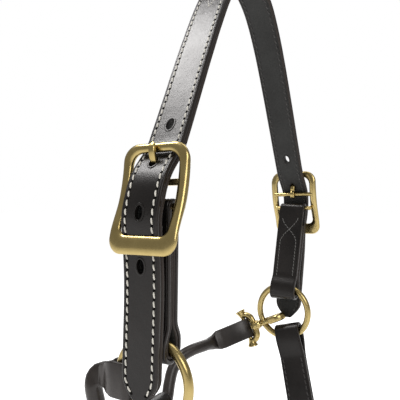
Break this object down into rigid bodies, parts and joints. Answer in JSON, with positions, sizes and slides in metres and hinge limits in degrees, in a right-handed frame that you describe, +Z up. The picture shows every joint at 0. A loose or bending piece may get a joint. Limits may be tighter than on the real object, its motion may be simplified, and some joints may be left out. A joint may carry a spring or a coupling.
{
  "type": "leather headcollar",
  "caption": "Leather headcollar for a horse: strap over the poll with a buckle on each cheek, round rings, noseband, chin straps with a lead ring, and a rolled throat lash on a bolt snap.",
  "frame": {"origin": "middle of the crown strap's underside, where it rests on the horse's poll or on a hook", "axes": "+Z up, -Y towards the nose, +X towards the left cheek"},
  "size_m": [0.2666, 0.2654, 0.5343],
  "materials": {
    "crown_outer": "dark brown bridle leather, semi-gloss grain",
    "crown_lining": "flesh side of the leather, matt",
    "left_buckle_frame": "satin cast brass",
    "left_buckle_tongue": "satin cast brass",
    "left_tab": "dark brown bridle leather, semi-gloss grain",
    "left_tab_liner": "flesh side of the leather, matt",
    "left_ring": "satin cast brass",
    "left_cheek": "dark brown bridle leather, semi-gloss grain",
    "left_square": "satin cast brass",
    "left_chin_strap": "dark brown bridle leather, semi-gloss grain",
    "right_buckle_frame": "satin cast brass",
    "right_buckle_tongue": "satin cast brass",
    "right_tab": "dark brown bridle leather, semi-gloss grain",
    "right_tab_liner": "flesh side of the leather, matt",
    "right_ring": "satin cast brass",
    "right_cheek": "dark brown bridle leather, semi-gloss grain",
    "right_square": "satin cast brass",
    "right_chin_strap": "dark brown bridle leather, semi-gloss grain",
    "noseband_outer": "dark brown bridle leather, semi-gloss grain",
    "noseband_lining": "flesh side of the leather, matt",
    "lead_ring": "satin cast brass",
    "jowl_strap": "dark brown bridle leather, semi-gloss grain",
    "throat_lash": "dark brown bridle leather, semi-gloss grain",
    "snap_eye": "satin cast brass",
    "snap_body": "satin cast brass",
    "snap_bolt": "satin cast brass"
  },
  "bodies": {
    "crown": {"crown_outer": "crown_outer", "crown_lining": "crown_lining", "left_buckle_frame": "left_buckle_frame", "left_tab": "left_tab", "left_tab_liner": "left_tab_liner", "right_buckle_frame": "right_buckle_frame", "right_tab": "right_tab", "right_tab_liner": "right_tab_liner"},
    "left_tongue": {"left_buckle_tongue": "left_buckle_tongue"},
    "right_tongue": {"right_buckle_tongue": "right_buckle_tongue"},
    "left_ring": {"left_ring": "left_ring"},
    "right_ring": {"right_ring": "right_ring"},
    "nosepiece": {"left_cheek": "left_cheek", "left_square": "left_square", "left_chin_strap": "left_chin_strap", "right_cheek": "right_cheek", "right_square": "right_square", "right_chin_strap": "right_chin_strap", "noseband_outer": "noseband_outer", "noseband_lining": "noseband_lining", "jowl_strap": "jowl_strap", "throat_lash": "throat_lash", "snap_eye": "snap_eye"},
    "lead_ring": {"lead_ring": "lead_ring"},
    "snap_body": {"snap_body": "snap_body"},
    "snap_bolt": {"snap_bolt": "snap_bolt"}
  },
  "joints": [
    {"name": "left_tongue_lift", "type": "hinge", "parent": "crown", "child": "left_tongue", "pos_m": [0.1175, 0, -0.164], "axis": [0, 1, 0], "range_deg": [0, 6]},
    {"name": "left_ring_turn", "type": "hinge", "parent": "crown", "child": "left_ring", "pos_m": [0.109, 0.008, -0.281], "axis": [1, 0, 0], "continuous": true},
    {"name": "right_tongue_lift", "type": "hinge", "parent": "crown", "child": "right_tongue", "pos_m": [-0.1175, 0, -0.164], "axis": [0, -1, 0], "range_deg": [0, 6]},
    {"name": "right_ring_turn", "type": "hinge", "parent": "crown", "child": "right_ring", "pos_m": [-0.109, 0.008, -0.281], "axis": [1, 0, 0], "continuous": true},
    {"name": "nosepiece_swing", "type": "hinge", "parent": "crown", "child": "nosepiece", "pos_m": [0, 0.008, -0.281], "axis": [1, 0, 0], "range_deg": [-20, 14]},
    {"name": "lead_ring_turn", "type": "hinge", "parent": "nosepiece", "child": "lead_ring", "pos_m": [0, 0.03994, -0.50179], "axis": [0, -0.9567, 0.2911], "continuous": true},
    {"name": "snap_swivel", "type": "hinge", "parent": "nosepiece", "child": "snap_body", "pos_m": [0.109, 0.0481, -0.3036], "axis": [0, -0.9121, 0.4099], "range_deg": [-8, 8]},
    {"name": "snap_bolt_slide", "type": "slide", "parent": "snap_body", "child": "snap_bolt", "axis": [0, 0.9121, -0.4099], "range_m": [0, 0.006], "stiffness_N_per_m": 300, "springref_m": -0.004}
  ]
}
